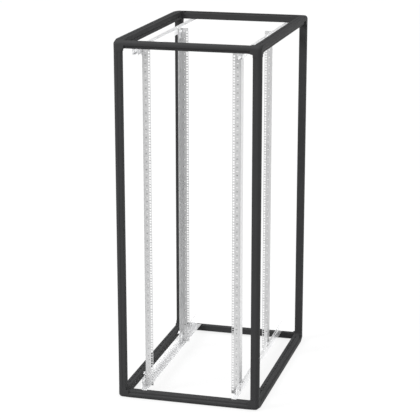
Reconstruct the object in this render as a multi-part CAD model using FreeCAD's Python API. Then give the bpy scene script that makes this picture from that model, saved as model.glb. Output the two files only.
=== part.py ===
# Four post open frame rack, 800 wide, 1200 deep and 2000 high, in millimetres.
# +Z is up, the front faces -Y, and the origin is the middle of the base on the floor.
# Twelve roll-formed members meet in eight corner pieces. Inside them, two lower and two upper depth
# rails carry four mounting angles, whose flanges have the square holes of a 19 inch rack.
import FreeCAD, Part
import math
import os

os.makedirs("parts", exist_ok=True)

WIDTH = 800.0
DEPTH = 1200.0
HEIGHT = 2000.0

# Frame members: closed roll-formed sections. Each has a bead along its outer edge, and beyond the bead
# its outer faces step back to seat the panels. The side rails are flat over their whole top or underside.
WALL = 1.5
BEAD_WIDTH = 24.0
POST_SIZE = 45.0
POST_OUTER_R = 22.0
POST_INNER_R = 10.0
POST_SEAT = 1.5
RAIL_SEAT = 8.0
SIDE_RAIL_SIZE = 45.0
SIDE_RAIL_EDGE_R = 1.5
CROSS_RAIL_DEPTH = 45.0
CROSS_RAIL_HEIGHT = 43.0
CROSS_RAIL_OUTER_R = 16.0
CROSS_RAIL_BEAD_HEIGHT = 28.0
CROSS_RAIL_SHOULDER_R = 8.0

# Corner pieces: three legs of one section whose rounded outer edges meet in mitres. The flat pad under
# each lower one has a blind M12 thread for a levelling foot.
CORNER_LEG = 46.0
CORNER_LENGTH = 60.0
CORNER_R = 16.0
CORNER_SEAT = 1.5
THREAD_R = 5.1
THREAD_DEPTH = 25.0
THREAD_OFFSET = 32.0

# Mounting angles: 42 rack units with three square holes in each, centred on the height.
UNIT = 44.45
UNITS = 42
UNIT_HOLES = (6.35, 22.225, 38.1)
HOLE = 9.5
HOLE_X = 232.55
OPENING_HALF = 225.0
ANGLE_X = 270.0
ANGLE_WEB = 60.0
ANGLE_PLATE = 2.0
ANGLE_BEND_R = 3.0
ANGLE_LENGTH = 1903.0
FRONT_FLANGE_Y = -500.0
REAR_FLANGE_Y = 240.0

# Depth rails: the lower ones are angles whose ledge lies on the frame rails and carries the mounting
# angles, and the upper ones are channels, open below, that hang under the frame rails.
RAIL_PLATE = 2.5
DEPTH_RAIL_HALF = 570.0
LOWER_LEG = 65.0
LOWER_LEDGE = 28.0
UPPER_HEIGHT = 35.0
UPPER_WIDTH = 32.0
UPPER_LIP = 12.0

# Clamps: a hooked plate outside and a backing plate inside each end of a mounting angle.
CLAMP_PLATE = 3.0
CLAMP_DEPTH = 40.0
CLAMP_HEIGHT = 46.0
CLAMP_TAB = 14.0
CLAMP_SETBACK = 6.0
BACKING_HEIGHT = 60.0

V = FreeCAD.Vector
X_SIDES = (("left", -1), ("right", 1))
Y_SIDES = (("front", -1), ("rear", 1))
Z_SIDES = (("bottom", -1), ("top", 1))
MID_ANGLE_Y = (FRONT_FLANGE_Y + REAR_FLANGE_Y) / 2


def write(shape, node):
    shape.exportStep("parts/" + node + ".step")


def placed(shape, x_side, y_side, z_side):
    """Mirror a piece made for the left, front, bottom octant into another octant."""
    if x_side > 0:
        shape = shape.mirror(V(0, 0, 0), V(1, 0, 0))
    if y_side > 0:
        shape = shape.mirror(V(0, 0, 0), V(0, 1, 0))
    if z_side > 0:
        shape = shape.mirror(V(0, 0, HEIGHT / 2), V(0, 0, 1))
    return shape


def post_outline():
    """Corners of a post's section as (distance, distance, radius), anticlockwise from its outer corner."""
    size = POST_SIZE
    seat = POST_SEAT
    bead = BEAD_WIDTH
    return [(0, 0, POST_OUTER_R), (bead, 0, 0), (bead, seat, 0), (size, seat, 0),
            (size, size, POST_INNER_R), (seat, size, 0), (seat, bead, 0), (0, bead, 0)]


def cross_rail_outline():
    """Section of a front or rear rail: x runs inwards and y away from the floor."""
    depth = CROSS_RAIL_DEPTH
    height = CROSS_RAIL_HEIGHT
    seat = RAIL_SEAT
    bead = BEAD_WIDTH
    rise = CROSS_RAIL_BEAD_HEIGHT
    shoulder = CROSS_RAIL_SHOULDER_R
    return [(0, 0, CROSS_RAIL_OUTER_R), (bead, 0, 0), (bead, seat, 0), (depth, seat, 0),
            (depth, height, 0), (seat, height, shoulder), (seat, rise, 0), (0, rise, shoulder)]


def side_rail_outline():
    """Section of a left or right rail: x runs away from the floor and y inwards."""
    size = SIDE_RAIL_SIZE
    seat = RAIL_SEAT
    bead = BEAD_WIDTH
    return [(0, 0, SIDE_RAIL_EDGE_R), (bead, 0, 0), (bead, seat, 0), (size, seat, 0), (size, size, 0),
            (0, size, 0)]


def inset(outline, depth):
    """Move every side of a square-cornered outline inwards; round corners keep their centres."""
    moved = []
    for index, (x, y, radius) in enumerate(outline):
        before = outline[index - 1]
        after = outline[(index + 1) % len(outline)]
        step_in = (V(x, y, 0) - V(before[0], before[1], 0)).normalize()
        step_out = (V(after[0], after[1], 0) - V(x, y, 0)).normalize()
        shift_x = -step_in.y - step_out.y
        shift_y = step_in.x + step_out.x
        moved.append((x + depth * shift_x, y + depth * shift_y, max(radius - depth, 0)))
    return moved


def rounded_wire(outline):
    """Closed wire through the corners of an outline, with an arc at each corner that has a radius."""
    arcs = []
    ends = []
    for index, (x, y, radius) in enumerate(outline):
        corner = V(x, y, 0)
        before = outline[index - 1]
        after = outline[(index + 1) % len(outline)]
        back = (V(before[0], before[1], 0) - corner).normalize()
        ahead = (V(after[0], after[1], 0) - corner).normalize()
        start = corner + back * radius
        end = corner + ahead * radius
        ends.append((start, end))
        if radius > 0:
            middle = corner + (back + ahead) * (radius * (1 - math.sqrt(0.5)))
            arcs.append(Part.Arc(start, middle, end).toShape())
    lines = []
    for index, (start, end) in enumerate(ends):
        previous_end = ends[index - 1][1]
        if previous_end.distanceToPoint(start) > 0.01:
            lines.append(Part.makeLine(previous_end, start))
    return Part.Wire(Part.__sortEdges__(arcs + lines))


def member(outline, length):
    """Hollow member centred on z = 0, with its outer corner on the Z axis."""
    face = Part.Face([rounded_wire(outline), rounded_wire(inset(outline, WALL))])
    face.translate(V(0, 0, -length / 2))
    return face.extrude(V(0, 0, length))


def corner_piece():
    """Solid corner with three legs; its outer corner is at the origin and it lies in +x, +y, +z."""
    leg = CORNER_LEG
    length = CORNER_LENGTH
    square = [(0, 0, CORNER_R), (length, 0, 0), (length, length, 0), (0, length, 0)]
    upright = Part.Face(rounded_wire(square)).extrude(V(0, 0, length))
    body = upright.copy()
    for turn in (120, 240):
        lying = upright.copy()
        lying.rotate(V(0, 0, 0), V(1, 1, 1), turn)
        body = body.common(lying)
    legs = Part.makeBox(leg, leg, length)
    legs = legs.fuse(Part.makeBox(leg, length, leg))
    legs = legs.fuse(Part.makeBox(length, leg, leg))
    body = body.common(legs).removeSplitter()
    reach = length - BEAD_WIDTH
    body = body.cut(Part.makeBox(CORNER_SEAT, reach, reach, V(0, BEAD_WIDTH, BEAD_WIDTH)))
    return body.cut(Part.makeBox(reach, CORNER_SEAT, reach, V(BEAD_WIDTH, 0, BEAD_WIDTH)))


def angle_section():
    """Face of a mounting angle at the left front: flange along X, web along Y, with a rounded bend."""
    outer = -ANGLE_X
    inner = -OPENING_HALF
    front = FRONT_FLANGE_Y
    back = front + ANGLE_WEB
    t = ANGLE_PLATE
    r = ANGLE_BEND_R
    s = r * (1 - math.sqrt(0.5))
    q = (r - t) * (1 - math.sqrt(0.5))
    edges = [
        Part.makeLine(V(inner, front, 0), V(outer + r, front, 0)),
        Part.Arc(V(outer + r, front, 0), V(outer + s, front + s, 0), V(outer, front + r, 0)).toShape(),
        Part.makeLine(V(outer, front + r, 0), V(outer, back, 0)),
        Part.makeLine(V(outer, back, 0), V(outer + t, back, 0)),
        Part.makeLine(V(outer + t, back, 0), V(outer + t, front + r, 0)),
        Part.Arc(V(outer + t, front + r, 0), V(outer + t + q, front + t + q, 0),
                 V(outer + r, front + t, 0)).toShape(),
        Part.makeLine(V(outer + r, front + t, 0), V(inner, front + t, 0)),
        Part.makeLine(V(inner, front + t, 0), V(inner, front, 0)),
    ]
    return Part.Face(Part.Wire(Part.__sortEdges__(edges)))


def mounting_angle():
    """Left front mounting angle with three square holes in each rack unit."""
    section = angle_section()
    section.translate(V(0, 0, (HEIGHT - ANGLE_LENGTH) / 2))
    angle = section.extrude(V(0, 0, ANGLE_LENGTH))
    first_unit = (HEIGHT - UNITS * UNIT) / 2
    cutters = []
    for unit in range(UNITS):
        for offset in UNIT_HOLES:
            z = first_unit + unit * UNIT + offset - HOLE / 2
            corner = V(-HOLE_X - HOLE / 2, FRONT_FLANGE_Y - 1, z)
            cutters.append(Part.makeBox(HOLE, ANGLE_PLATE + 2, HOLE, corner))
    return angle.cut(Part.Compound(cutters))


def depth_rail(outline):
    """Extrude a closed outline of (x, z) points along Y over the length of a depth rail."""
    wire = Part.makePolygon([V(x, -DEPTH_RAIL_HALF, z) for x, z in outline + outline[:1]])
    return Part.Face(wire).extrude(V(0, 2 * DEPTH_RAIL_HALF, 0))


def lower_depth_rail():
    """Left lower rail: an upright leg, and a ledge that points inward and lies on the frame rails."""
    x0 = -ANGLE_X
    z0 = CROSS_RAIL_HEIGHT
    t = RAIL_PLATE
    outline = [(x0 - t, z0), (x0 + LOWER_LEDGE, z0), (x0 + LOWER_LEDGE, z0 + t), (x0, z0 + t),
               (x0, z0 + LOWER_LEG), (x0 - t, z0 + LOWER_LEG)]
    return depth_rail(outline)


def upper_depth_rail():
    """Left upper rail: a channel open below, with a lip turned in under its outer side."""
    x0 = -ANGLE_X
    x1 = x0 - UPPER_WIDTH
    z1 = HEIGHT - CROSS_RAIL_HEIGHT
    z0 = z1 - UPPER_HEIGHT
    t = RAIL_PLATE
    outline = [(x0, z0), (x0, z1), (x1, z1), (x1, z0), (x1 + UPPER_LIP, z0), (x1 + UPPER_LIP, z0 + t),
               (x1 + t, z0 + t), (x1 + t, z1 - t), (x0 - t, z1 - t), (x0 - t, z0)]
    return depth_rail(outline)


def lower_clamp():
    """Left front foot clamp: a plate outside the depth rail with a tab on top, and one inside the web."""
    y0 = FRONT_FLANGE_Y + CLAMP_SETBACK
    x0 = -ANGLE_X - RAIL_PLATE
    top = CROSS_RAIL_HEIGHT + LOWER_LEG + CLAMP_PLATE
    t = CLAMP_PLATE
    plate = Part.makeBox(t, CLAMP_DEPTH, CLAMP_HEIGHT, V(x0 - t, y0, top - CLAMP_HEIGHT))
    tab = Part.makeBox(CLAMP_TAB, CLAMP_DEPTH, t, V(x0 - CLAMP_TAB, y0, top - t))
    inner_x = -ANGLE_X + ANGLE_PLATE
    backing = Part.makeBox(t, CLAMP_DEPTH, BACKING_HEIGHT, V(inner_x, y0, top - BACKING_HEIGHT))
    return Part.Compound([plate.fuse(tab).removeSplitter(), backing])


def upper_clamp():
    """Left front head clamp: a plate inside the channel and a backing plate inside the web."""
    y0 = FRONT_FLANGE_Y + CLAMP_SETBACK
    x0 = -ANGLE_X - RAIL_PLATE
    top = HEIGHT - CROSS_RAIL_HEIGHT - RAIL_PLATE
    t = CLAMP_PLATE
    plate = Part.makeBox(t, CLAMP_DEPTH, CLAMP_HEIGHT, V(x0 - t, y0, top - CLAMP_HEIGHT))
    inner_x = -ANGLE_X + ANGLE_PLATE
    backing = Part.makeBox(t, CLAMP_DEPTH, BACKING_HEIGHT, V(inner_x, y0, top - BACKING_HEIGHT))
    return Part.Compound([plate, backing])


def mirrored_angle_end(shape, x_side, y_side):
    """Mirror a piece of the left front mounting angle to another angle; they mirror about their middle."""
    if x_side > 0:
        shape = shape.mirror(V(0, 0, 0), V(1, 0, 0))
    if y_side > 0:
        shape = shape.mirror(V(0, MID_ANGLE_Y, 0), V(0, 1, 0))
    return shape


post = member(post_outline(), HEIGHT - 2 * CORNER_LENGTH)
post.translate(V(-WIDTH / 2, -DEPTH / 2, HEIGHT / 2))
cross_rail = member(cross_rail_outline(), WIDTH - 2 * CORNER_LENGTH)
cross_rail.rotate(V(0, 0, 0), V(1, 1, 1), 120)
cross_rail.translate(V(0, -DEPTH / 2, 0))
side_rail = member(side_rail_outline(), DEPTH - 2 * CORNER_LENGTH)
side_rail.rotate(V(0, 0, 0), V(1, 1, 1), 240)
side_rail.translate(V(-WIDTH / 2, 0, 0))
corner = corner_piece()
thread = Part.makeCylinder(THREAD_R, THREAD_DEPTH, V(THREAD_OFFSET, THREAD_OFFSET, 0))
foot_corner = corner.cut(thread)
corner.translate(V(-WIDTH / 2, -DEPTH / 2, 0))
foot_corner.translate(V(-WIDTH / 2, -DEPTH / 2, 0))

for x_name, x_side in X_SIDES:
    for y_name, y_side in Y_SIDES:
        place = y_name + "_" + x_name
        write(placed(post, x_side, y_side, -1), "post_" + place)
        write(placed(foot_corner, x_side, y_side, -1), "corner_bottom_" + place)
        write(placed(corner, x_side, y_side, 1), "corner_top_" + place)

for z_name, z_side in Z_SIDES:
    for y_name, y_side in Y_SIDES:
        write(placed(cross_rail, -1, y_side, z_side), "rail_" + z_name + "_" + y_name)
    for x_name, x_side in X_SIDES:
        write(placed(side_rail, x_side, -1, z_side), "rail_" + z_name + "_" + x_name)

angle = mounting_angle()
lower_rail = lower_depth_rail()
upper_rail = upper_depth_rail()
foot_clamp = lower_clamp()
head_clamp = upper_clamp()
for x_name, x_side in X_SIDES:
    write(placed(lower_rail, x_side, -1, -1), "depth_rail_bottom_" + x_name)
    write(placed(upper_rail, x_side, -1, -1), "depth_rail_top_" + x_name)
    for y_name, y_side in Y_SIDES:
        place = y_name + "_" + x_name
        write(mirrored_angle_end(angle, x_side, y_side), "mounting_angle_" + place)
        write(mirrored_angle_end(foot_clamp, x_side, y_side), "clamp_bottom_" + place)
        write(mirrored_angle_end(head_clamp, x_side, y_side), "clamp_top_" + place)
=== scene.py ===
import math
import bmesh
import bpy
from mathutils import Matrix, Vector


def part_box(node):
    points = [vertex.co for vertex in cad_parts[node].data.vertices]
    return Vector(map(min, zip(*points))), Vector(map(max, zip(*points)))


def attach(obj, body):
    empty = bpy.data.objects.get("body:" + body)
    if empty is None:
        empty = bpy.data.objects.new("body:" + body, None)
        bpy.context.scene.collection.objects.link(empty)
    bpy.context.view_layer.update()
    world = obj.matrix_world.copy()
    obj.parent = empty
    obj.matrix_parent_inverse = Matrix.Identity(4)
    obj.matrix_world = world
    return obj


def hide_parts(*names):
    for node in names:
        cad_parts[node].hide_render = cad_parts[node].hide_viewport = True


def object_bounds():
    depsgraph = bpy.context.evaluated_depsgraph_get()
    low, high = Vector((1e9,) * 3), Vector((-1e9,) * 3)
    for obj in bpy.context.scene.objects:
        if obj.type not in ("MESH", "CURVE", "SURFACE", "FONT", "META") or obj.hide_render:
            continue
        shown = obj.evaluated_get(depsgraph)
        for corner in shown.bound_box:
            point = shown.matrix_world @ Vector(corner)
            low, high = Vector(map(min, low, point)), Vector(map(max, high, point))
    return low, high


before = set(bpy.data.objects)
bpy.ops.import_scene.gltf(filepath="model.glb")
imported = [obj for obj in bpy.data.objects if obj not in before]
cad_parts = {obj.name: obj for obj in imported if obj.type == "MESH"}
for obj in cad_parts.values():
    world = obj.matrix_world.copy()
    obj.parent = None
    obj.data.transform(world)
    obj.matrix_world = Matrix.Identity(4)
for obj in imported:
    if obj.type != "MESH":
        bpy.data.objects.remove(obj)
cad_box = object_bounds()

# ---------------------------------------------------------------------------------------------
# Posts: four uprights of 1.5 mm steel strip, roll formed into a closed section with a full round
# bead on the outer corner and a shallow seat for the panels beside it. They are welded to the
# corner pieces, and the whole frame is sprayed with anthracite polyester powder and baked.
# ---------------------------------------------------------------------------------------------
STRIP = 0.0015
BEAD = 0.024
POST = 0.045
POST_ROUND = 0.022
POST_SEAT = 0.0015
POST_FOLD = 0.0007
LEFT_RIGHT = (("left", False), ("right", True))
FRONT_REAR = (("front", False), ("rear", True))
BOTTOM_TOP = (("bottom", False), ("top", True))


def powder_coat():
    """Satin anthracite powder: faint clouds in its tone, fine orange peel, and edges rubbed paler."""
    coat = bpy.data.materials.new("anthracite_powder_coat")
    coat.use_nodes = True
    nodes = coat.node_tree.nodes
    link = coat.node_tree.links.new
    shader = nodes["Principled BSDF"]
    shader.inputs["Specular IOR Level"].default_value = 0.03
    place = nodes.new("ShaderNodeTexCoord").outputs["Object"]

    clouds = nodes.new("ShaderNodeTexNoise")
    clouds.inputs["Scale"].default_value = 9.0
    clouds.inputs["Detail"].default_value = 5.0
    tone = nodes.new("ShaderNodeMix")
    tone.data_type = "RGBA"
    tone.inputs["A"].default_value = (0.0198, 0.0200, 0.0204, 1.0)
    tone.inputs["B"].default_value = (0.0244, 0.0246, 0.0251, 1.0)
    link(place, clouds.inputs["Vector"])
    link(clouds.outputs["Fac"], tone.inputs["Factor"])

    rounded = nodes.new("ShaderNodeBevel")
    rounded.samples = 4
    rounded.inputs["Radius"].default_value = 0.0012
    flat = nodes.new("ShaderNodeNewGeometry")
    turn = nodes.new("ShaderNodeVectorMath")
    turn.operation = "DOT_PRODUCT"
    edge = nodes.new("ShaderNodeMapRange")
    edge.inputs["From Min"].default_value = 0.985
    edge.inputs["From Max"].default_value = 0.86
    scuff = nodes.new("ShaderNodeTexNoise")
    scuff.inputs["Scale"].default_value = 140.0
    scuff.inputs["Detail"].default_value = 3.0
    worn = nodes.new("ShaderNodeMath")
    worn.operation = "MULTIPLY"
    skin = nodes.new("ShaderNodeMix")
    skin.data_type = "RGBA"
    skin.inputs["B"].default_value = (0.042, 0.042, 0.044, 1.0)
    link(rounded.outputs["Normal"], turn.inputs[0])
    link(flat.outputs["Normal"], turn.inputs[1])
    link(turn.outputs["Value"], edge.inputs["Value"])
    link(place, scuff.inputs["Vector"])
    link(edge.outputs["Result"], worn.inputs[0])
    link(scuff.outputs["Fac"], worn.inputs[1])
    link(worn.outputs["Value"], skin.inputs["Factor"])
    link(tone.outputs["Result"], skin.inputs["A"])
    link(skin.outputs["Result"], shader.inputs["Base Color"])

    sheen = nodes.new("ShaderNodeMapRange")
    sheen.inputs["To Min"].default_value = 0.46
    sheen.inputs["To Max"].default_value = 0.56
    link(clouds.outputs["Fac"], sheen.inputs["Value"])
    link(sheen.outputs["Result"], shader.inputs["Roughness"])

    peel = nodes.new("ShaderNodeTexNoise")
    peel.inputs["Scale"].default_value = 900.0
    peel.inputs["Detail"].default_value = 2.0
    relief = nodes.new("ShaderNodeBump")
    relief.inputs["Strength"].default_value = 0.12
    relief.inputs["Distance"].default_value = 0.0002
    link(place, peel.inputs["Vector"])
    link(peel.outputs["Fac"], relief.inputs["Height"])
    link(rounded.outputs["Normal"], relief.inputs["Normal"])
    link(relief.outputs["Normal"], shader.inputs["Normal"])
    return coat


def rolled_section(corners, closed):
    """A strip's section as a line of edges. Each corner is (across, across, bend radius)."""
    section = bmesh.new()
    points = [section.verts.new((a, b, 0.0)) for a, b, radius in corners]
    nexts = points[1:] + points[:1] if closed else points[1:]
    for start, end in zip(points, nexts):
        section.edges.new((start, end))
    for point, (a, b, radius) in zip(points, corners):
        if radius > 0.0:
            steps = max(3, round(radius / 0.002))
            bmesh.ops.bevel(section, geom=[point], offset=radius, offset_type="OFFSET", segments=steps,
                            profile=0.5, affect="VERTICES", material=-1)
    return section


def drawn_out(sheet, edges, length):
    """Pull edges along the piece by a length, leaving a wall behind them, and return the pulled edges."""
    made = bmesh.ops.extrude_edge_only(sheet, edges=edges)["geom"]
    pulled = [part for part in made if isinstance(part, bmesh.types.BMVert)]
    bmesh.ops.translate(sheet, verts=pulled, vec=(0.0, 0.0, length))
    ahead = set(pulled)
    return [part for part in made if isinstance(part, bmesh.types.BMEdge) and ahead.issuperset(part.verts)]


def thickened(sheet, plate):
    """Give the folded strip its thickness, inwards from its outer face."""
    bmesh.ops.recalc_face_normals(sheet, faces=sheet.faces)
    bmesh.ops.solidify(sheet, geom=sheet.faces[:], thickness=plate)
    bmesh.ops.recalc_face_normals(sheet, faces=sheet.faces)


def put(piece, box, along, flipped):
    """Move a piece from its own (across, across, along) to its place: along names the world axes, and
    flipped says which of them it is measured back from."""
    low, high = box
    for point in piece.verts:
        own = point.co.copy()
        for axis, part in zip(along, own):
            point.co[axis] = high[axis] - part if flipped[axis] else low[axis] + part


def finished(piece, name, material, node):
    """Turn a shaped bmesh into an object with crisp folds and smooth bends. It replaces its node, if any."""
    piece.normal_update()
    bmesh.ops.recalc_face_normals(piece, faces=piece.faces)
    for face in piece.faces:
        face.smooth = True
    for edge in piece.edges:
        edge.smooth = edge.calc_face_angle(math.pi) < math.radians(35.0)
    mesh = bpy.data.meshes.new(name)
    piece.to_mesh(mesh)
    piece.free()
    mesh.materials.append(material)
    item = bpy.data.objects.new(name, mesh)
    bpy.context.scene.collection.objects.link(item)
    shading = item.modifiers.new("even_shading", "WEIGHTED_NORMAL")
    shading.keep_sharp = True
    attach(item, "root")
    if node:
        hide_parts(node)


coating = powder_coat()
post_corners = [(0.0, 0.0, POST_ROUND), (BEAD, 0.0, POST_FOLD), (BEAD, POST_SEAT, POST_FOLD),
                (POST, POST_SEAT, 0.003), (POST, POST, 0.010), (POST_SEAT, POST, 0.003),
                (POST_SEAT, BEAD, POST_FOLD), (0.0, BEAD, POST_FOLD)]
for y_name, rear in FRONT_REAR:
    for x_name, right in LEFT_RIGHT:
        node = "post_" + y_name + "_" + x_name
        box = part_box(node)
        post = rolled_section(post_corners, True)
        drawn_out(post, post.edges[:], box[1][2] - box[0][2])
        thickened(post, STRIP)
        put(post, box, (0, 1, 2), (right, rear, False))
        finished(post, "upright_" + y_name + "_" + x_name, coating, node)

# ---------------------------------------------------------------------------------------------
# Cross rails: the front and rear rails, top and bottom. They are rolled from the same strip as the
# posts, with a bead whose shoulder is rounded, and they are plain because doors close on them.
# ---------------------------------------------------------------------------------------------
CROSS_DEPTH = 0.045
CROSS_HEIGHT = 0.043
CROSS_ROUND = 0.016
SHOULDER = 0.0285
SEAT = 0.008
FOLD = 0.002
cross_corners = [(0.0, 0.0, CROSS_ROUND), (BEAD, 0.0, FOLD), (BEAD, SEAT, FOLD), (CROSS_DEPTH, SEAT, FOLD),
                 (CROSS_DEPTH, CROSS_HEIGHT, FOLD), (SEAT, CROSS_HEIGHT, 0.0075), (SEAT, SHOULDER, 0.0015),
                 (0.0, SHOULDER, 0.0064)]
for z_name, top in BOTTOM_TOP:
    for y_name, rear in FRONT_REAR:
        node = "rail_" + z_name + "_" + y_name
        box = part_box(node)
        rail = rolled_section(cross_corners, True)
        drawn_out(rail, rail.edges[:], box[1][0] - box[0][0])
        thickened(rail, STRIP)
        put(rail, box, (1, 2, 0), (False, rear, top))
        finished(rail, "cross_rail_" + z_name + "_" + y_name, coating, node)

# ---------------------------------------------------------------------------------------------
# Side rails: the four rails along the depth, rolled from punched strip. Slots and round holes take
# turns every 25 mm along the top, the underside and the inner face, for screws and cage nuts.
# ---------------------------------------------------------------------------------------------
SIDE = 0.045
SIDE_ROUND = 0.0015
ROW_PITCH = 0.050
ROW_PLACE = 0.0255
ROW_SLOT = (0.0125, 0.0085, 0.0005, 4)
ROW_HOLE = (0.0065, 0.0065, 0.00325, 12)


def drawn_in_steps(section, stops):
    """Draw a section out along the piece with a line across it at each stop, ready to be punched."""
    edges = section.edges[:]
    for start, stop in zip(stops, stops[1:]):
        edges = drawn_out(section, edges, stop - start)
    bmesh.ops.recalc_face_normals(section, faces=section.faces)


def edges_of(points):
    """The edges at some points, each once and always in the same order."""
    return list(dict.fromkeys(edge for point in points for edge in point.link_edges))


def punch(sheet, middle, holes):
    """Cut holes through the flat side whose middle has the given section point. Each hole is (place along,
    place across, length, width, corner radius, corners), and none crosses a line between steps."""
    middle = Vector((*middle, 0.0))
    steps = [face for face in sheet.faces if (face.calc_center_median().xy - middle.xy).length < 0.002]
    for face in steps:
        low = min(point.co.z for point in face.verts)
        high = max(point.co.z for point in face.verts)
        own = [hole for hole in holes if low < hole[0] < high]
        if not own:
            continue
        normal = face.normal.copy()
        across = Vector((abs(normal.y), abs(normal.x), 0.0))
        level = middle - across * middle.dot(across)
        rims = face.edges[:]
        bmesh.ops.delete(sheet, geom=[face], context="FACES_ONLY")
        for place, reach, length, width, radius, corners in own:
            ring = bmesh.ops.create_circle(sheet, segments=corners, radius=1.0,
                                           matrix=Matrix.Rotation(math.pi / corners, 4, "Z"))["verts"]
            for point in ring:
                x, y = point.co.xy
                run = place + x * radius + math.copysign(length / 2 - radius, x)
                rise = reach + y * radius + math.copysign(width / 2 - radius, y)
                point.co = level + across * rise + Vector((0.0, 0.0, run))
            rims += edges_of(ring)
        bmesh.ops.triangle_fill(sheet, use_beauty=True, use_dissolve=False, edges=rims, normal=normal)


side_corners = [(0.0, 0.0, SIDE_ROUND), (BEAD, 0.0, FOLD), (BEAD + SEAT, SEAT, FOLD), (SIDE, SEAT, FOLD),
                (SIDE, SIDE, FOLD), (0.0, SIDE, FOLD)]
for z_name, top in BOTTOM_TOP:
    for x_name, right in LEFT_RIGHT:
        node = "rail_" + z_name + "_" + x_name
        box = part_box(node)
        length = box[1][1] - box[0][1]
        count = int(length / ROW_PITCH)
        first = (length - count * ROW_PITCH) / 2
        stops = [first + step * ROW_PITCH for step in range(count + 1)]
        row = []
        for stop in stops[:-1]:
            row.append((stop + ROW_PITCH / 4, ROW_PLACE, *ROW_SLOT))
            row.append((stop + ROW_PITCH * 3 / 4, ROW_PLACE, *ROW_HOLE))
        rail = rolled_section(side_corners, True)
        drawn_in_steps(rail, [0.0] + stops + [length])
        for middle in ((0.0, SIDE / 2), (SIDE, (SEAT + SIDE) / 2), (SIDE / 2, SIDE)):
            punch(rail, middle, row)
        thickened(rail, STRIP)
        put(rail, box, (2, 0, 1), (right, False, top))
        finished(rail, "side_rail_" + z_name + "_" + x_name, coating, node)

# ---------------------------------------------------------------------------------------------
# Corner pieces: steel castings with a leg for each member that meets there. The outer edges run into
# a ball at the corner, and the lower ones are drilled and tapped M12 for a levelling foot.
# ---------------------------------------------------------------------------------------------
LEG = 0.0456
BALL = 0.020
LEG_ROUNDS = (CROSS_ROUND, SIDE_ROUND, POST_ROUND)
LEG_SIZES = ((LEG, CROSS_DEPTH, 0.0432), (SIDE, LEG, SIDE), (POST, POST, LEG))
TAPPED_RADIUS = 0.0051
TAPPED_DEPTH = 0.025
TAPPED_PLACE = 0.032
COUNTERSINK = 0.001
GROOVE = 0.0006
GROOVE_STEP = 0.000875
HAIR = 0.00001


def corner_casting(length):
    """Corner with three legs, its ball at the origin and its legs along +x, +y and +z. The rounding of each
    outer edge runs out from the ball to the edge of the rail or the post that the leg enters."""
    casting = bmesh.new()
    bmesh.ops.create_cube(casting, size=LEG, matrix=Matrix.Translation((LEG / 2, LEG / 2, LEG / 2)))
    # The three legs.
    for axis in range(3):
        end = max(casting.faces, key=lambda face: (face.normal[axis], face.calc_center_median()[axis]))
        made = bmesh.ops.extrude_face_region(casting, geom=[end])["geom"]
        bmesh.ops.delete(casting, geom=[end], context="FACES_ONLY")
        step = Vector((0.0, 0.0, 0.0))
        step[axis] = length - LEG
        pulled = [part for part in made if isinstance(part, bmesh.types.BMVert)]
        bmesh.ops.translate(casting, verts=pulled, vec=step)
    # The three outer edges, and the ball where they meet.
    outer_edges = [edge for edge in casting.edges
                   if sum(all(abs(end.co[axis]) < HAIR for end in edge.verts) for axis in range(3)) == 2]
    bmesh.ops.bevel(casting, geom=outer_edges, offset=BALL, offset_type="OFFSET", segments=10,
                    profile=0.5, affect="EDGES", material=-1)
    # Each leg tapers from the ball to the size and rounding of its member.
    moved = {}
    for point in casting.verts:
        for axis in range(3):
            across = [other for other in range(3) if other != axis]
            if point.co[axis] < BALL - HAIR:
                continue
            share = (point.co[axis] - BALL) / (length - BALL)
            place = point.co.copy()
            if all(point.co[other] < BALL + HAIR for other in across):
                radius = BALL + (LEG_ROUNDS[axis] - BALL) * share
                for other in across:
                    place[other] = radius + (point.co[other] - BALL) * radius / BALL
                moved[point] = place
            elif share > 0.999:
                for other in across:
                    if point.co[other] > LEG - HAIR:
                        place[other] = LEG_SIZES[axis][other]
                moved[point] = place
    for point, place in moved.items():
        point.co = place
    # Rims of the legs, a little rounded as cast.
    casting.normal_update()
    rims = [edge for edge in casting.edges if edge.calc_face_angle(0.0) > math.radians(60.0)]
    bmesh.ops.bevel(casting, geom=rims, offset=0.0005, offset_type="OFFSET", segments=2,
                    profile=0.5, affect="EDGES", material=-1)
    loose = [edge for edge in casting.edges if not edge.link_faces]
    bmesh.ops.delete(casting, geom=loose, context="EDGES")
    return casting


def tapped_hole(casting):
    """Drill a blind hole into the pad of a casting, with a countersunk mouth and grooves for its thread."""
    middle = Vector((TAPPED_PLACE, TAPPED_PLACE, 0.0))
    pad = min((face for face in casting.faces if face.normal.z < -0.99),
              key=lambda face: (face.calc_center_median() - middle).length)
    rims = pad.edges[:]
    bmesh.ops.delete(casting, geom=[pad], context="FACES_ONLY")
    ring = bmesh.ops.create_circle(casting, segments=24, radius=TAPPED_RADIUS + COUNTERSINK,
                                   matrix=Matrix.Translation(middle))["verts"]
    edges = edges_of(ring)
    bmesh.ops.triangle_fill(casting, use_beauty=True, use_dissolve=False, edges=rims + edges,
                            normal=(0.0, 0.0, -1.0))
    depth = 0.0
    while depth < TAPPED_DEPTH:
        radius = TAPPED_RADIUS if round(depth / GROOVE_STEP) % 2 == 0 else TAPPED_RADIUS + GROOVE
        depth += GROOVE_STEP
        edges = drawn_out(casting, edges, GROOVE_STEP)
        for point in {point for edge in edges for point in edge.verts}:
            arm = point.co - middle
            arm.z = 0.0
            point.co = middle + arm.normalized() * radius + Vector((0.0, 0.0, depth))
    bmesh.ops.contextual_create(casting, geom=edges)


for z_name, top in BOTTOM_TOP:
    for y_name, rear in FRONT_REAR:
        for x_name, right in LEFT_RIGHT:
            node = "corner_" + z_name + "_" + y_name + "_" + x_name
            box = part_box(node)
            casting = corner_casting(box[1][0] - box[0][0])
            if not top:
                tapped_hole(casting)
            put(casting, box, (0, 1, 2), (right, rear, top))
            finished(casting, "corner_casting_" + z_name + "_" + y_name + "_" + x_name, coating,
                     node)

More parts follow.
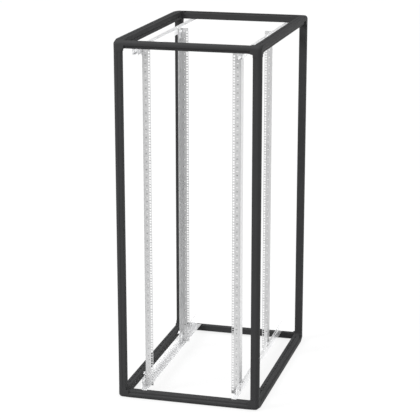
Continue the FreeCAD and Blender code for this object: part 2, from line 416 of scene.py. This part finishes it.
# ---------------------------------------------------------------------------------------------
# Mounting angles: four 2 mm zinc plated steel angles, punched on the flat and then folded. Each rack
# unit has three square holes for cage nuts, a slot at its edge, and its number printed in the middle.
# ---------------------------------------------------------------------------------------------
UNIT = 0.04445
UNITS = 42
UNIT_HEIGHTS = (0.00635, 0.022225, 0.0381)
BETWEEN_HOLES = 0.03016
ANGLE_PLATE = 0.002
FLANGE = 0.045
WEB = 0.060
BEND = 0.003
HOLE_LINE = 0.03745
CAGE_NUT_HOLE = (0.0095, 0.0095, 0.0, 4)
MIDDLE_LINE = 0.018
UNIT_SLOT = (0.0038, 0.012, 0.0019, 12)
WEB_LINE = 0.020
WEB_HOLE = (0.006, 0.006, 0.003, 12)


def zinc_plating(name, dull, bright):
    """Clear passivated zinc on cold rolled steel: satin, with a faint crystal mottle and rolling lines."""
    plating = bpy.data.materials.new(name)
    plating.use_nodes = True
    nodes = plating.node_tree.nodes
    link = plating.node_tree.links.new
    shader = nodes["Principled BSDF"]
    shader.inputs["Metallic"].default_value = 0.8
    place = nodes.new("ShaderNodeTexCoord").outputs["Object"]

    mottle = nodes.new("ShaderNodeTexVoronoi")
    mottle.inputs["Scale"].default_value = 160.0
    clouds = nodes.new("ShaderNodeTexNoise")
    clouds.inputs["Scale"].default_value = 14.0
    clouds.inputs["Detail"].default_value = 6.0
    blend = nodes.new("ShaderNodeMath")
    blend.operation = "MULTIPLY_ADD"
    blend.inputs[1].default_value = 0.35
    tone = nodes.new("ShaderNodeMix")
    tone.data_type = "RGBA"
    tone.inputs["A"].default_value = (dull, dull * 1.004, dull * 1.012, 1.0)
    tone.inputs["B"].default_value = (bright, bright * 1.003, bright * 1.008, 1.0)
    link(place, mottle.inputs["Vector"])
    link(place, clouds.inputs["Vector"])
    link(mottle.outputs["Color"], blend.inputs[0])
    link(clouds.outputs["Fac"], blend.inputs[2])
    link(blend.outputs["Value"], tone.inputs["Factor"])
    link(tone.outputs["Result"], shader.inputs["Base Color"])

    sheen = nodes.new("ShaderNodeMapRange")
    sheen.inputs["To Min"].default_value = 0.24
    sheen.inputs["To Max"].default_value = 0.36
    link(clouds.outputs["Fac"], sheen.inputs["Value"])
    link(sheen.outputs["Result"], shader.inputs["Roughness"])

    stretch = nodes.new("ShaderNodeMapping")
    stretch.inputs["Scale"].default_value = (2600.0, 2600.0, 40.0)
    lines = nodes.new("ShaderNodeTexNoise")
    lines.inputs["Scale"].default_value = 1.0
    relief = nodes.new("ShaderNodeBump")
    relief.inputs["Strength"].default_value = 0.08
    relief.inputs["Distance"].default_value = 0.0001
    rounded = nodes.new("ShaderNodeBevel")
    rounded.samples = 4
    rounded.inputs["Radius"].default_value = 0.0004
    link(place, stretch.inputs["Vector"])
    link(stretch.outputs["Vector"], lines.inputs["Vector"])
    link(lines.outputs["Fac"], relief.inputs["Height"])
    link(rounded.outputs["Normal"], relief.inputs["Normal"])
    link(relief.outputs["Normal"], shader.inputs["Normal"])
    return plating


zinc = zinc_plating("zinc_plate", 0.51, 0.59)
angle_corners = [(0.0, WEB, 0.0), (0.0, 0.0, BEND), (FLANGE, 0.0, 0.0)]
for y_name, rear in FRONT_REAR:
    for x_name, right in LEFT_RIGHT:
        node = "mounting_angle_" + y_name + "_" + x_name
        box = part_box(node)
        length = box[1][2] - box[0][2]
        first = (length - UNITS * UNIT) / 2
        flange_holes = [(first, MIDDLE_LINE, *UNIT_SLOT)]
        web_holes = []
        for unit in range(UNITS):
            low = first + unit * UNIT
            for height in UNIT_HEIGHTS:
                flange_holes.append((low + height, HOLE_LINE, *CAGE_NUT_HOLE))
            flange_holes.append((low + UNIT, MIDDLE_LINE, *UNIT_SLOT))
            web_holes.append((low + UNIT_HEIGHTS[1], WEB_LINE, *WEB_HOLE))
        stops = [first + BETWEEN_HOLES + unit * UNIT for unit in range(UNITS)]
        angle = rolled_section(angle_corners, False)
        drawn_in_steps(angle, [0.0] + stops + [length])
        punch(angle, (FLANGE / 2, 0.0), flange_holes)
        punch(angle, (0.0, WEB / 2), web_holes)
        thickened(angle, ANGLE_PLATE)
        put(angle, box, (0, 1, 2), (right, rear, False))
        finished(angle, "rack_angle_" + y_name + "_" + x_name, zinc, node)

# ---------------------------------------------------------------------------------------------
# Unit numbers: plain figures from 1 at the foot to 42 at the head, screen printed in black beside the
# middle hole of every rack unit, on the outer face of each mounting flange.
# ---------------------------------------------------------------------------------------------
FIGURE_HEIGHT = 0.0075
INK = 0.00006


def printing_ink():
    """Black printing ink, matt, a little thin in places."""
    ink = bpy.data.materials.new("printing_ink")
    ink.use_nodes = True
    nodes = ink.node_tree.nodes
    link = ink.node_tree.links.new
    shader = nodes["Principled BSDF"]
    shader.inputs["Roughness"].default_value = 0.7
    shader.inputs["Specular IOR Level"].default_value = 0.2
    place = nodes.new("ShaderNodeTexCoord").outputs["Object"]
    thin = nodes.new("ShaderNodeTexNoise")
    thin.inputs["Scale"].default_value = 700.0
    tone = nodes.new("ShaderNodeMix")
    tone.data_type = "RGBA"
    tone.inputs["A"].default_value = (0.020, 0.020, 0.022, 1.0)
    tone.inputs["B"].default_value = (0.055, 0.055, 0.060, 1.0)
    link(place, thin.inputs["Vector"])
    link(thin.outputs["Fac"], tone.inputs["Factor"])
    link(tone.outputs["Result"], shader.inputs["Base Color"])
    return ink


def figures(number):
    """The outline figures of a number as a flat mesh, centred on its own middle."""
    words = bpy.data.curves.new("figures", "FONT")
    words.body = str(number)
    words.size = FIGURE_HEIGHT * 1.4
    words.align_x = "CENTER"
    words.align_y = "CENTER"
    words.resolution_u = 2
    drawn = bpy.data.objects.new("figures", words)
    bpy.context.scene.collection.objects.link(drawn)
    bpy.context.view_layer.update()
    mesh = bpy.data.meshes.new_from_object(drawn)
    bpy.data.objects.remove(drawn)
    bpy.data.curves.remove(words)
    return mesh


ink = printing_ink()
printed = [figures(unit + 1) for unit in range(UNITS)]
for y_name, rear in FRONT_REAR:
    for x_name, right in LEFT_RIGHT:
        low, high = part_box("mounting_angle_" + y_name + "_" + x_name)
        middle_x = high[0] - MIDDLE_LINE if right else low[0] + MIDDLE_LINE
        face_y = high[1] if rear else low[1]
        first = (low[2] + high[2] - UNITS * UNIT) / 2
        turn = Matrix.Rotation(math.pi, 4, "Z") if rear else Matrix.Identity(4)
        stand = turn @ Matrix.Rotation(math.pi / 2, 4, "X")
        scale = bmesh.new()
        for unit, mesh in enumerate(printed):
            before = set(scale.verts)
            scale.from_mesh(mesh)
            added = [point for point in scale.verts if point not in before]
            centre = Vector((middle_x, face_y, first + (unit + 0.5) * UNIT))
            bmesh.ops.transform(scale, matrix=Matrix.Translation(centre) @ stand, verts=added)
        bmesh.ops.dissolve_limit(scale, angle_limit=0.01, verts=scale.verts, edges=scale.edges)
        lift = Vector((0.0, INK if rear else -INK, 0.0))
        raised = bmesh.ops.extrude_face_region(scale, geom=scale.faces[:])["geom"]
        pulled = [part for part in raised if isinstance(part, bmesh.types.BMVert)]
        bmesh.ops.translate(scale, verts=pulled, vec=lift)
        finished(scale, "unit_numbers_" + y_name + "_" + x_name, ink, None)

# ---------------------------------------------------------------------------------------------
# Lower depth rails: 2.5 mm zinc plated angles that lie with their ledge on the front and rear rails.
# The upright leg is slotted along its upper half, so that the mounting angles can be set at any depth.
# ---------------------------------------------------------------------------------------------
RAIL_PLATE = 0.0025
LEDGE = 0.0305
LOWER_LEG = 0.065
SLOT_PITCH = 0.1 / 3
LEG_SLOT_LINE = 0.0458
LEG_SLOT = (0.024, 0.010, 0.005, 12)
LEDGE_HOLE_LINE = 0.018
LEDGE_HOLE = (0.0065, 0.0065, 0.00325, 12)


def slot_stops(length):
    """Lines across a depth rail, one slot pitch apart and centred on its length."""
    count = 2 * int(length / SLOT_PITCH / 2)
    first = (length - count * SLOT_PITCH) / 2
    return [first + step * SLOT_PITCH for step in range(count + 1)]


bright_zinc = zinc_plating("bright_zinc_plate", 0.90, 0.96)
lower_corners = [(0.0, LOWER_LEG, 0.0), (0.0, 0.0, BEND), (LEDGE, 0.0, 0.0)]
for x_name, right in LEFT_RIGHT:
    node = "depth_rail_bottom_" + x_name
    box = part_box(node)
    length = box[1][1] - box[0][1]
    stops = slot_stops(length)
    leg_slots = [(stop + SLOT_PITCH / 2, LEG_SLOT_LINE, *LEG_SLOT) for stop in stops[:-1]]
    ledge_holes = [(stop + SLOT_PITCH / 2, LEDGE_HOLE_LINE, *LEDGE_HOLE) for stop in stops[:-1]]
    rail = rolled_section(lower_corners, False)
    drawn_in_steps(rail, [0.0] + stops + [length])
    punch(rail, (0.0, LOWER_LEG / 2), leg_slots)
    punch(rail, (LEDGE / 2, 0.0), ledge_holes)
    thickened(rail, RAIL_PLATE)
    put(rail, box, (0, 2, 1), (right, False, False))
    finished(rail, "lower_depth_rail_" + x_name, bright_zinc, node)

# ---------------------------------------------------------------------------------------------
# Upper depth rails: channels of the same zinc plated sheet, open below, that hang under the upper
# frame rails. A row of slots runs along the top, and the outer side ends in a lip turned inwards.
# ---------------------------------------------------------------------------------------------
UPPER_WIDTH = 0.032
UPPER_HEIGHT = 0.035
UPPER_LIP = 0.012
TOP_SLOT_LINE = 0.020
TOP_SLOT = (0.024, 0.0065, 0.00325, 12)
SIDE_SLOT_LINE = 0.016
SIDE_SLOT = (0.024, 0.0085, 0.00425, 12)
upper_corners = [(UPPER_WIDTH, 0.0, 0.0), (UPPER_WIDTH, UPPER_HEIGHT, BEND), (0.0, UPPER_HEIGHT, BEND),
                 (0.0, 0.0, BEND), (UPPER_LIP, 0.0, 0.0)]
for x_name, right in LEFT_RIGHT:
    node = "depth_rail_top_" + x_name
    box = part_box(node)
    length = box[1][1] - box[0][1]
    stops = slot_stops(length)
    top_slots = [(stop + SLOT_PITCH / 2, TOP_SLOT_LINE, *TOP_SLOT) for stop in stops[:-1]]
    side_slots = [(stop + SLOT_PITCH / 2, SIDE_SLOT_LINE, *SIDE_SLOT) for stop in stops[:-1]]
    rail = rolled_section(upper_corners, False)
    drawn_in_steps(rail, [0.0] + stops + [length])
    punch(rail, (UPPER_WIDTH / 2, UPPER_HEIGHT), top_slots)
    punch(rail, (0.0, UPPER_HEIGHT / 2), side_slots)
    thickened(rail, RAIL_PLATE)
    put(rail, box, (0, 2, 1), (right, False, False))
    finished(rail, "upper_depth_rail_" + x_name, bright_zinc, node)

# ---------------------------------------------------------------------------------------------
# Foot clamps: a 3 mm zinc plated plate outside the lower depth rail, bent out at the top into a tab, and
# a flat backing plate inside the web. One M8 bolt draws them together, and another is screwed down on
# the tab.
# ---------------------------------------------------------------------------------------------
CLAMP_PLATE = 0.003
CLAMP_DEPTH = 0.040
CLAMP_HEIGHT = 0.046
CLAMP_TAB = 0.014
BOLT_PLACE = 0.014
BOLT_RADIUS = 0.004
FOOT_BOLT_DROP = 0.0222
TAB_BOLT_PLACE = 0.0058


def bent_plate(corners):
    """A sheet piece that follows corners and is as deep as a clamp."""
    sheet = rolled_section(corners, False)
    drawn_out(sheet, sheet.edges[:], CLAMP_DEPTH)
    thickened(sheet, CLAMP_PLATE)
    return sheet


def flat_plate(piece, x, low_z, high_z):
    """Add a flat plate that is as deep as a clamp, with its near face at x and its edges taken off."""
    size = Vector((CLAMP_PLATE, CLAMP_DEPTH, high_z - low_z))
    middle = Vector((x + CLAMP_PLATE / 2, CLAMP_DEPTH / 2, (low_z + high_z) / 2))
    place = Matrix.Translation(middle) @ Matrix.Diagonal((*size, 1.0))
    points = bmesh.ops.create_cube(piece, size=1.0, matrix=place)["verts"]
    bmesh.ops.bevel(piece, geom=edges_of(points), offset=0.0004, offset_type="OFFSET", segments=2,
                    profile=0.5, affect="EDGES", material=-1)


def turned(piece, rings, sides, place):
    """Add a closed solid of rings, each a radius and a height, with so many sides."""
    low_ring = None
    for radius, height in rings:
        ring = bmesh.ops.create_circle(piece, segments=sides, radius=radius,
                                       matrix=place @ Matrix.Translation((0.0, 0.0, height)))["verts"]
        edges = edges_of(ring)
        if low_ring is None:
            bmesh.ops.contextual_create(piece, geom=edges)
        else:
            bmesh.ops.bridge_loops(piece, edges=low_ring + edges)
        low_ring = edges
    bmesh.ops.contextual_create(piece, geom=low_ring)


def bolt_head(piece, place):
    """Add a washer and a hexagon head that stand on the plane of place."""
    turned(piece, [(0.0075, 0.0), (0.0078, 0.0003), (0.0078, 0.0013), (0.0075, 0.0016)], 24, place)
    turned(piece, [(0.0070, 0.0016), (0.0075, 0.0021), (0.0075, 0.0062), (0.0068, 0.0069)], 6, place)


def shank_end(piece, place, length, beyond):
    """Add the shank that runs through the tapped plate and ends a little beyond the plane of place."""
    turned(piece, [(BOLT_RADIUS, -length), (BOLT_RADIUS, beyond - 0.0004), (BOLT_RADIUS - 0.0004, beyond)],
           16, place)


inward = Matrix.Rotation(math.pi / 2, 4, "Y")
outward = Matrix.Rotation(-math.pi / 2, 4, "Y")
# The bent plate is drawn out upwards, and then its depth and height change places.
laid_deep = Matrix(((1, 0, 0, 0), (0, 0, 1, 0), (0, 1, 0, 0), (0, 0, 0, 1)))
for y_name, rear in FRONT_REAR:
    for x_name, right in LEFT_RIGHT:
        node = "clamp_bottom_" + y_name + "_" + x_name
        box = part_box(node)
        width = box[1][0] - box[0][0]
        top = box[1][2] - box[0][2]
        clamp_corners = [(CLAMP_TAB, top - CLAMP_HEIGHT, 0.0), (CLAMP_TAB, top, 0.0045), (0.0, top, 0.0)]
        clamp = bent_plate(clamp_corners)
        bmesh.ops.transform(clamp, matrix=laid_deep, verts=clamp.verts)
        flat_plate(clamp, width - CLAMP_PLATE, 0.0, top)
        backing_face = Vector((width, BOLT_PLACE, top - FOOT_BOLT_DROP))
        bolt_head(clamp, Matrix.Translation(backing_face) @ inward)
        plate_face = Vector((CLAMP_TAB - CLAMP_PLATE, BOLT_PLACE, top - FOOT_BOLT_DROP))
        shank_end(clamp, Matrix.Translation(plate_face) @ outward, width - CLAMP_TAB, 0.0030)
        bolt_head(clamp, Matrix.Translation((TAB_BOLT_PLACE, BOLT_PLACE, top)))
        put(clamp, box, (0, 1, 2), (right, rear, False))
        finished(clamp, "foot_clamp_" + y_name + "_" + x_name, bright_zinc, node)

# ---------------------------------------------------------------------------------------------
# Head clamps: a flat 3 mm plate inside the channel of the upper depth rail and one inside the web of the
# angle, zinc plated, drawn together by one M8 bolt that runs into the tapped plate in the channel.
# ---------------------------------------------------------------------------------------------
HEAD_BOLT_DROP = 0.020
for y_name, rear in FRONT_REAR:
    for x_name, right in LEFT_RIGHT:
        node = "clamp_top_" + y_name + "_" + x_name
        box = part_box(node)
        width = box[1][0] - box[0][0]
        top = box[1][2] - box[0][2]
        clamp = bmesh.new()
        flat_plate(clamp, 0.0, top - CLAMP_HEIGHT, top)
        flat_plate(clamp, width - CLAMP_PLATE, 0.0, top)
        backing_face = Vector((width, BOLT_PLACE, top - HEAD_BOLT_DROP))
        bolt_head(clamp, Matrix.Translation(backing_face) @ inward)
        plate_face = Vector((0.0, BOLT_PLACE, top - HEAD_BOLT_DROP))
        shank_end(clamp, Matrix.Translation(plate_face) @ outward, width - 0.001, 0.0008)
        put(clamp, box, (0, 1, 2), (right, rear, False))
        finished(clamp, "head_clamp_" + y_name + "_" + x_name, bright_zinc, node)

# ---------------------------------------------------------------------------------------------
# Stage: a wide pale matt floor, an open sky that is brightest overhead, one large soft lamp high on the
# left, and the camera.
# ---------------------------------------------------------------------------------------------
bpy.ops.mesh.primitive_plane_add(size=60.0)
floor = bpy.context.object
floor.name = "studio_floor"
paint = bpy.data.materials.new("floor_paint")
paint.use_nodes = True
nodes = paint.node_tree.nodes
link = paint.node_tree.links.new
diffuse = nodes["Principled BSDF"]
diffuse.inputs["Base Color"].default_value = (0.45, 0.45, 0.45, 1.0)
diffuse.inputs["Roughness"].default_value = 1.0
diffuse.inputs["Specular IOR Level"].default_value = 0.0
glow = nodes.new("ShaderNodeEmission")
path = nodes.new("ShaderNodeLightPath")
ground = nodes.new("ShaderNodeTexCoord")
apart = nodes.new("ShaderNodeSeparateXYZ")
depth_tone = nodes.new("ShaderNodeMapRange")
depth_tone.inputs["From Min"].default_value = -2.5
depth_tone.inputs["From Max"].default_value = 1.0
depth_tone.inputs["To Min"].default_value = 0.66
depth_tone.inputs["To Max"].default_value = 1.30
strength = nodes.new("ShaderNodeMix")
strength.inputs["B"].default_value = 0.95
seen = nodes.new("ShaderNodeMath")
seen.operation = "MAXIMUM"
mix = nodes.new("ShaderNodeMixShader")
share = nodes.new("ShaderNodeMath")
share.operation = "MULTIPLY"
share.inputs[1].default_value = 0.85
link(ground.outputs["Object"], apart.inputs["Vector"])
link(apart.outputs["Y"], depth_tone.inputs["Value"])
link(path.outputs["Is Camera Ray"], strength.inputs["Factor"])
link(depth_tone.outputs["Result"], strength.inputs["A"])
link(strength.outputs["Result"], glow.inputs["Strength"])
link(path.outputs["Is Camera Ray"], seen.inputs[0])
link(path.outputs["Is Glossy Ray"], seen.inputs[1])
link(seen.outputs["Value"], share.inputs[0])
link(share.outputs["Value"], mix.inputs[0])
link(diffuse.outputs[0], mix.inputs[1])
link(glow.outputs[0], mix.inputs[2])
link(mix.outputs[0], nodes["Material Output"].inputs["Surface"])
floor.data.materials.append(paint)

world = bpy.data.worlds.new("studio")
bpy.context.scene.world = world
world.use_nodes = True
nodes = world.node_tree.nodes
link = world.node_tree.links.new
sky = nodes["Background"]
sky.inputs["Color"].default_value = (1.0, 1.0, 1.0, 1.0)
path = nodes.new("ShaderNodeLightPath")
around = nodes.new("ShaderNodeTexCoord")
apart = nodes.new("ShaderNodeSeparateXYZ")
sky_tone = nodes.new("ShaderNodeMapRange")
sky_tone.inputs["To Min"].default_value = 0.10
sky_tone.inputs["To Max"].default_value = 4.40
wall_tone = nodes.new("ShaderNodeMapRange")
wall_tone.inputs["From Min"].default_value = -0.6
wall_tone.inputs["From Max"].default_value = 0.6
wall_tone.inputs["To Min"].default_value = 0.78
wall_tone.inputs["To Max"].default_value = 0.22
glossy = nodes.new("ShaderNodeMix")
level = nodes.new("ShaderNodeMix")
level.inputs["B"].default_value = 1.0
link(around.outputs["Generated"], apart.inputs["Vector"])
link(apart.outputs["Z"], sky_tone.inputs["Value"])
link(sky_tone.outputs["Result"], glossy.inputs["A"])
link(apart.outputs["Y"], wall_tone.inputs["Value"])
link(path.outputs["Is Glossy Ray"], glossy.inputs["Factor"])
link(wall_tone.outputs["Result"], glossy.inputs["B"])
link(path.outputs["Is Camera Ray"], level.inputs["Factor"])
link(glossy.outputs["Result"], level.inputs["A"])
link(level.outputs["Result"], sky.inputs["Strength"])


def soft_box(name, place, target, size, power):
    light = bpy.data.lights.new(name, "AREA")
    light.shape = "DISK"
    light.size = size
    light.energy = power
    lamp = bpy.data.objects.new(name, light)
    bpy.context.scene.collection.objects.link(lamp)
    lamp.location = place
    lamp.rotation_euler = (Vector(target) - Vector(place)).to_track_quat("-Z", "Y").to_euler()


middle = (cad_box[0] + cad_box[1]) / 2
soft_box("key_light", (-8.4, -7.6, 9.5), middle, 4.5, 1900.0)

camera = bpy.data.objects.new("camera", bpy.data.cameras.new("camera"))
bpy.context.scene.collection.objects.link(camera)
camera.location = (2.1675, -8.1727, 3.2507)
camera.rotation_euler = (math.radians(90.0 - 15.218), 0.0, math.radians(15.063))
camera.data.lens = 131.55
camera.data.sensor_width = 36.0
camera.data.clip_end = 200.0
bpy.context.scene.camera = camera
bpy.context.scene.view_settings.view_transform = "Standard"
